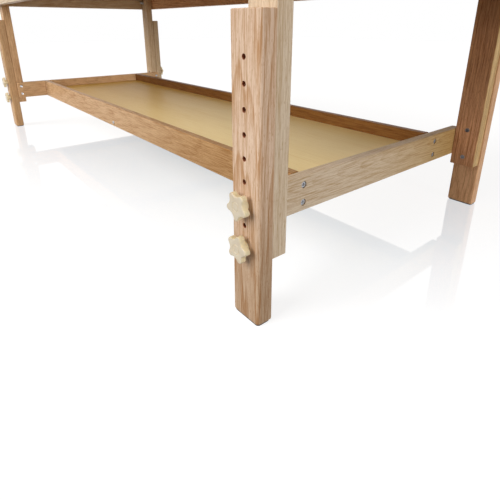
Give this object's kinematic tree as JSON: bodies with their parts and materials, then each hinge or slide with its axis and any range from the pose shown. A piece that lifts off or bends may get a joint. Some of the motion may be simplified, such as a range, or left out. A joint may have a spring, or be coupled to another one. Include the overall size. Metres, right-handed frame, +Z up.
{
  "type": "massage table",
  "caption": "Stationary wooden massage table with telescoping drilled legs clamped by star knobs, a shelf tray between the legs and a padded top.",
  "frame": {"origin": "on the floor under the middle of the table, with the legs at their lowest setting", "axes": "+X along the table towards its right end, +Y across it towards the rear, +Z up"},
  "size_m": [1.85, 0.7, 0.6206],
  "materials": {
    "leg_wood": "satin",
    "rail_wood": "satin",
    "panel_wood": "satin",
    "cream_plastic": "satin",
    "zinc": "satin",
    "felt": "matte",
    "upholstery": "satin"
  },
  "bodies": {
    "frame": {"upper_leg_front_left": "leg_wood", "upper_leg_front_right": "leg_wood", "upper_leg_rear_left": "leg_wood", "upper_leg_rear_right": "leg_wood", "insert_nut_front_left_lower": "zinc", "insert_nut_front_left_upper": "zinc", "insert_nut_front_right_lower": "zinc", "insert_nut_front_right_upper": "zinc", "insert_nut_rear_left_lower": "zinc", "insert_nut_rear_left_upper": "zinc", "insert_nut_rear_right_lower": "zinc", "insert_nut_rear_right_upper": "zinc", "tray_end_rail_left": "rail_wood", "tray_end_rail_right": "rail_wood", "tray_long_rail_front": "rail_wood", "tray_long_rail_rear": "rail_wood", "tray_panel": "panel_wood", "tray_batten": "rail_wood", "corner_bolt_front_left_lower": "zinc", "corner_bolt_front_left_upper": "zinc", "corner_bolt_front_right_lower": "zinc", "corner_bolt_front_right_upper": "zinc", "corner_bolt_rear_left_lower": "zinc", "corner_bolt_rear_left_upper": "zinc", "corner_bolt_rear_right_lower": "zinc", "corner_bolt_rear_right_upper": "zinc", "batten_screw_front": "zinc", "batten_screw_rear": "zinc", "long_apron_front": "rail_wood", "long_apron_rear": "rail_wood", "end_apron_left": "rail_wood", "end_apron_right": "rail_wood", "cross_rail_left": "rail_wood", "cross_rail_right": "rail_wood", "deck": "panel_wood", "padded_top": "upholstery"},
    "leg_front_left": {"lower_leg_front_left": "leg_wood", "foot_pad_front_left": "felt"},
    "leg_front_right": {"lower_leg_front_right": "leg_wood", "foot_pad_front_right": "felt"},
    "leg_rear_left": {"lower_leg_rear_left": "leg_wood", "foot_pad_rear_left": "felt"},
    "leg_rear_right": {"lower_leg_rear_right": "leg_wood", "foot_pad_rear_right": "felt"},
    "screw_front_left_lower": {"stud_front_left_lower": "zinc"},
    "screw_front_left_upper": {"stud_front_left_upper": "zinc"},
    "screw_front_right_lower": {"stud_front_right_lower": "zinc"},
    "screw_front_right_upper": {"stud_front_right_upper": "zinc"},
    "screw_rear_left_lower": {"stud_rear_left_lower": "zinc"},
    "screw_rear_left_upper": {"stud_rear_left_upper": "zinc"},
    "screw_rear_right_lower": {"stud_rear_right_lower": "zinc"},
    "screw_rear_right_upper": {"stud_rear_right_upper": "zinc"},
    "knob_front_left_lower": {"star_knob_front_left_lower": "cream_plastic"},
    "knob_front_left_upper": {"star_knob_front_left_upper": "cream_plastic"},
    "knob_front_right_lower": {"star_knob_front_right_lower": "cream_plastic"},
    "knob_front_right_upper": {"star_knob_front_right_upper": "cream_plastic"},
    "knob_rear_left_lower": {"star_knob_rear_left_lower": "cream_plastic"},
    "knob_rear_left_upper": {"star_knob_rear_left_upper": "cream_plastic"},
    "knob_rear_right_lower": {"star_knob_rear_right_lower": "cream_plastic"},
    "knob_rear_right_upper": {"star_knob_rear_right_upper": "cream_plastic"}
  },
  "joints": [
    {"name": "height_front_left", "type": "slide", "parent": "frame", "child": "leg_front_left", "axis": [0, 0, -1], "range_m": [0, 0.18]},
    {"name": "height_front_right", "type": "slide", "parent": "frame", "child": "leg_front_right", "axis": [0, 0, -1], "range_m": [0, 0.18]},
    {"name": "height_rear_left", "type": "slide", "parent": "frame", "child": "leg_rear_left", "axis": [0, 0, -1], "range_m": [0, 0.18]},
    {"name": "height_rear_right", "type": "slide", "parent": "frame", "child": "leg_rear_right", "axis": [0, 0, -1], "range_m": [0, 0.18]},
    {"name": "draw_front_left_lower", "type": "slide", "parent": "frame", "child": "screw_front_left_lower", "axis": [0, -1, 0], "range_m": [0, 0.0531]},
    {"name": "draw_front_left_upper", "type": "slide", "parent": "frame", "child": "screw_front_left_upper", "axis": [0, -1, 0], "range_m": [0, 0.0531]},
    {"name": "draw_front_right_lower", "type": "slide", "parent": "frame", "child": "screw_front_right_lower", "axis": [0, -1, 0], "range_m": [0, 0.0531]},
    {"name": "draw_front_right_upper", "type": "slide", "parent": "frame", "child": "screw_front_right_upper", "axis": [0, -1, 0], "range_m": [0, 0.0531]},
    {"name": "draw_rear_left_lower", "type": "slide", "parent": "frame", "child": "screw_rear_left_lower", "axis": [0, 1, 0], "range_m": [0, 0.0531]},
    {"name": "draw_rear_left_upper", "type": "slide", "parent": "frame", "child": "screw_rear_left_upper", "axis": [0, 1, 0], "range_m": [0, 0.0531]},
    {"name": "draw_rear_right_lower", "type": "slide", "parent": "frame", "child": "screw_rear_right_lower", "axis": [0, 1, 0], "range_m": [0, 0.0531]},
    {"name": "draw_rear_right_upper", "type": "slide", "parent": "frame", "child": "screw_rear_right_upper", "axis": [0, 1, 0], "range_m": [0, 0.0531]},
    {"name": "turn_front_left_lower", "type": "hinge", "parent": "screw_front_left_lower", "child": "knob_front_left_lower", "pos_m": [-0.7575, -0.3314, 0.1152], "axis": [0, -1, 0], "range_deg": [0, 19080]},
    {"name": "turn_front_left_upper", "type": "hinge", "parent": "screw_front_left_upper", "child": "knob_front_left_upper", "pos_m": [-0.7575, -0.3314, 0.1752], "axis": [0, -1, 0], "range_deg": [0, 19080]},
    {"name": "turn_front_right_lower", "type": "hinge", "parent": "screw_front_right_lower", "child": "knob_front_right_lower", "pos_m": [0.7575, -0.3314, 0.1152], "axis": [0, -1, 0], "range_deg": [0, 19080]},
    {"name": "turn_front_right_upper", "type": "hinge", "parent": "screw_front_right_upper", "child": "knob_front_right_upper", "pos_m": [0.7575, -0.3314, 0.1752], "axis": [0, -1, 0], "range_deg": [0, 19080]},
    {"name": "turn_rear_left_lower", "type": "hinge", "parent": "screw_rear_left_lower", "child": "knob_rear_left_lower", "pos_m": [-0.7575, 0.3314, 0.1152], "axis": [0, 1, 0], "range_deg": [0, 19080]},
    {"name": "turn_rear_left_upper", "type": "hinge", "parent": "screw_rear_left_upper", "child": "knob_rear_left_upper", "pos_m": [-0.7575, 0.3314, 0.1752], "axis": [0, 1, 0], "range_deg": [0, 19080]},
    {"name": "turn_rear_right_lower", "type": "hinge", "parent": "screw_rear_right_lower", "child": "knob_rear_right_lower", "pos_m": [0.7575, 0.3314, 0.1152], "axis": [0, 1, 0], "range_deg": [0, 19080]},
    {"name": "turn_rear_right_upper", "type": "hinge", "parent": "screw_rear_right_upper", "child": "knob_rear_right_upper", "pos_m": [0.7575, 0.3314, 0.1752], "axis": [0, 1, 0], "range_deg": [0, 19080]}
  ],
  "couplings": [
    {"joint": "draw_front_left_lower", "follows": "turn_front_left_lower", "m_per_rad": 0.00015915},
    {"joint": "draw_front_left_upper", "follows": "turn_front_left_upper", "m_per_rad": 0.00015915},
    {"joint": "draw_front_right_lower", "follows": "turn_front_right_lower", "m_per_rad": 0.00015915},
    {"joint": "draw_front_right_upper", "follows": "turn_front_right_upper", "m_per_rad": 0.00015915},
    {"joint": "draw_rear_left_lower", "follows": "turn_rear_left_lower", "m_per_rad": 0.00015915},
    {"joint": "draw_rear_left_upper", "follows": "turn_rear_left_upper", "m_per_rad": 0.00015915},
    {"joint": "draw_rear_right_lower", "follows": "turn_rear_right_lower", "m_per_rad": 0.00015915},
    {"joint": "draw_rear_right_upper", "follows": "turn_rear_right_upper", "m_per_rad": 0.00015915}
  ]
}
